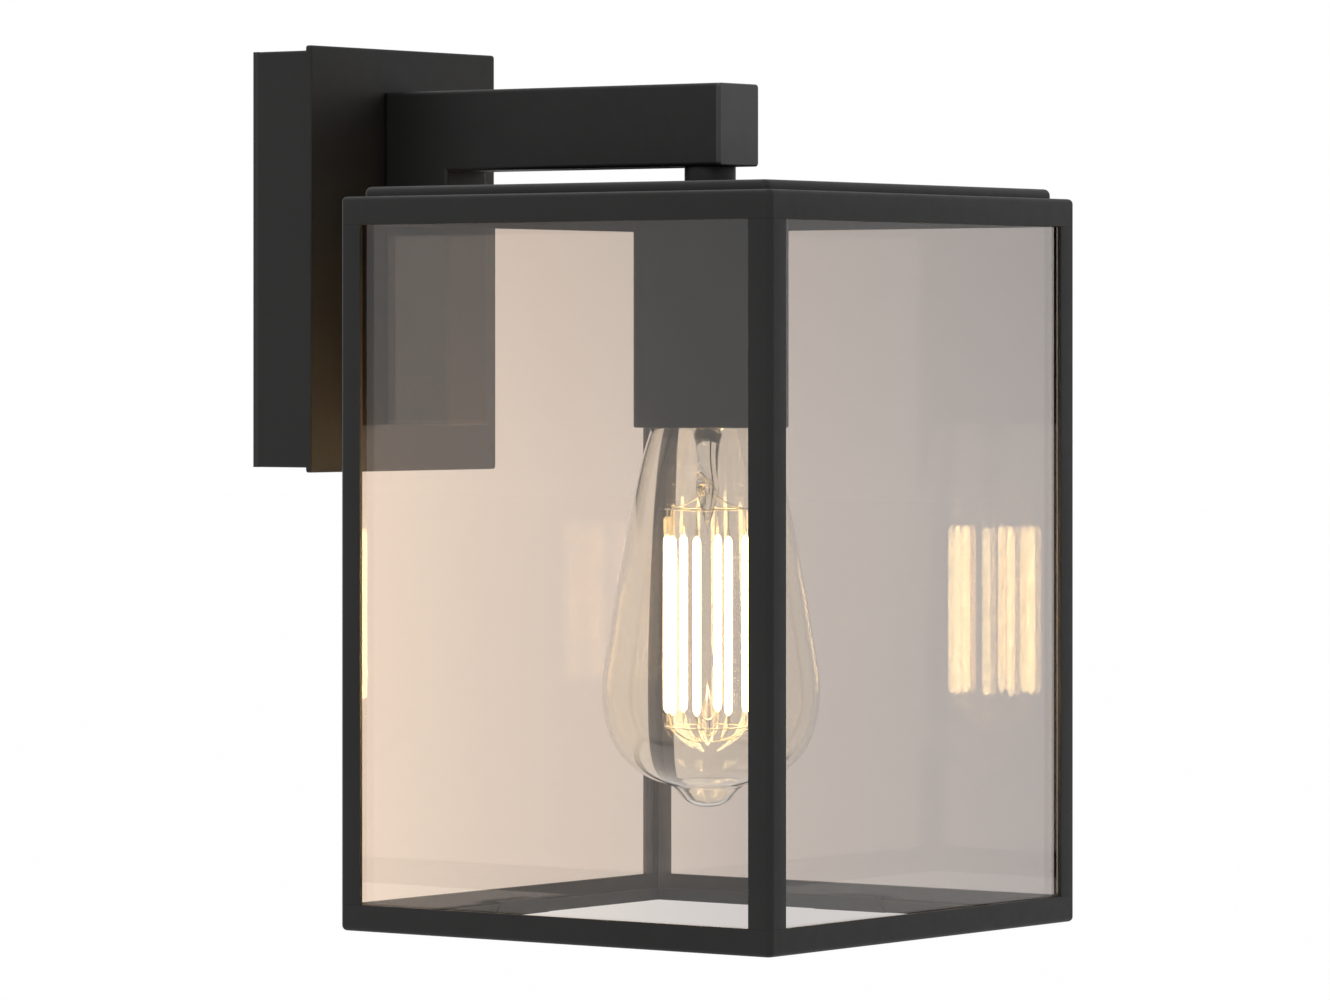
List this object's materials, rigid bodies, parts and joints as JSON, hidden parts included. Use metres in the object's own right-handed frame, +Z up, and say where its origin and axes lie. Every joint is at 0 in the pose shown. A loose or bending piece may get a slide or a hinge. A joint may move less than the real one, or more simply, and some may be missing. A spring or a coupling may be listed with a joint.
{
  "type": "outdoor wall lantern",
  "caption": "Square glazed wall lantern, open below, hung from an L-shaped arm on a wall box, with a lit filament bulb that unscrews.",
  "frame": {"origin": "centre of the wall face, midway up the front plate", "axes": "+Z up, -Y out from the wall towards the lantern, +X to the right of someone facing the wall"},
  "size_m": [0.16, 0.2235, 0.269],
  "materials": {
    "black_coat": "fine matt powder coat",
    "black_plastic": "matt",
    "clear_glass": "clear float glass",
    "black_rubber": "closed-cell rubber",
    "zinc_steel": "zinc plated",
    "black_screw": "blackened",
    "brass": "plain",
    "natural_plastic": "natural nylon",
    "bulb_glass": "faint amber tint",
    "nickel": "nickel plated",
    "black_glass": "black lamp glass",
    "solder": "soft solder",
    "stem_glass": "clear",
    "led_glow": "warm white phosphor, lit",
    "wire_brown": "PVC",
    "wire_blue": "PVC",
    "wire_green": "green and yellow PVC"
  },
  "bodies": {
    "fixture": {"back_box": "black_coat", "front_plate": "black_coat", "arm_tube": "black_coat", "leg_tube": "black_coat", "roof_cap": "black_coat", "spigot": "black_coat", "holder_sleeve": "black_coat", "bottom_rail_front": "black_coat", "bottom_rail_right": "black_coat", "bottom_rail_back": "black_coat", "bottom_rail_left": "black_coat", "top_rail_front": "black_coat", "top_rail_right": "black_coat", "top_rail_back": "black_coat", "top_rail_left": "black_coat", "corner_post_front_left": "black_coat", "corner_post_front_right": "black_coat", "corner_post_back_right": "black_coat", "corner_post_back_left": "black_coat", "arm_end_cap": "black_plastic", "leg_end_cap": "black_plastic", "glass_clip_front": "black_coat", "pane_front": "clear_glass", "glass_clip_right": "black_coat", "pane_right": "clear_glass", "glass_clip_back": "black_coat", "pane_back": "clear_glass", "glass_clip_left": "black_coat", "pane_left": "clear_glass", "wall_gasket": "black_rubber", "cable_grommet": "black_rubber", "wall_strap": "zinc_steel", "box_screws": "black_screw", "earth_screw": "brass", "terminal_block": "natural_plastic", "terminal_screws": "zinc_steel", "terminal_fixing_screw": "zinc_steel", "arm_screws": "zinc_steel", "arm_nuts": "zinc_steel", "arm_bush": "black_plastic", "nipple": "zinc_steel", "arm_washer": "zinc_steel", "arm_locknut": "zinc_steel", "sleeve_locknut": "zinc_steel", "holder_cap": "black_plastic", "holder_body": "black_plastic", "holder_shell": "brass", "holder_contact": "brass", "wire_live": "wire_brown", "wire_neutral": "wire_blue", "wire_earth": "wire_green"},
    "bulb_tip": {"bulb_contact": "solder"},
    "bulb": {"bulb_glass": "bulb_glass", "bulb_cap": "nickel", "bulb_insulator": "black_glass", "bulb_stem": "stem_glass", "led_filaments": "led_glow", "bulb_wires_upper": "nickel", "bulb_wires_lower": "nickel"}
  },
  "joints": [
    {"name": "bulb_drop", "type": "slide", "parent": "fixture", "child": "bulb_tip", "axis": [0, 0, -1], "range_m": [0, 0.01087]},
    {"name": "bulb_turn", "type": "hinge", "parent": "bulb_tip", "child": "bulb", "pos_m": [0, -0.1435, -0.04], "axis": [0, 0, -1], "range_deg": [0, 1080]}
  ],
  "couplings": [
    {"joint": "bulb_drop", "follows": "bulb_turn", "m_per_rad": 0.00057614}
  ]
}
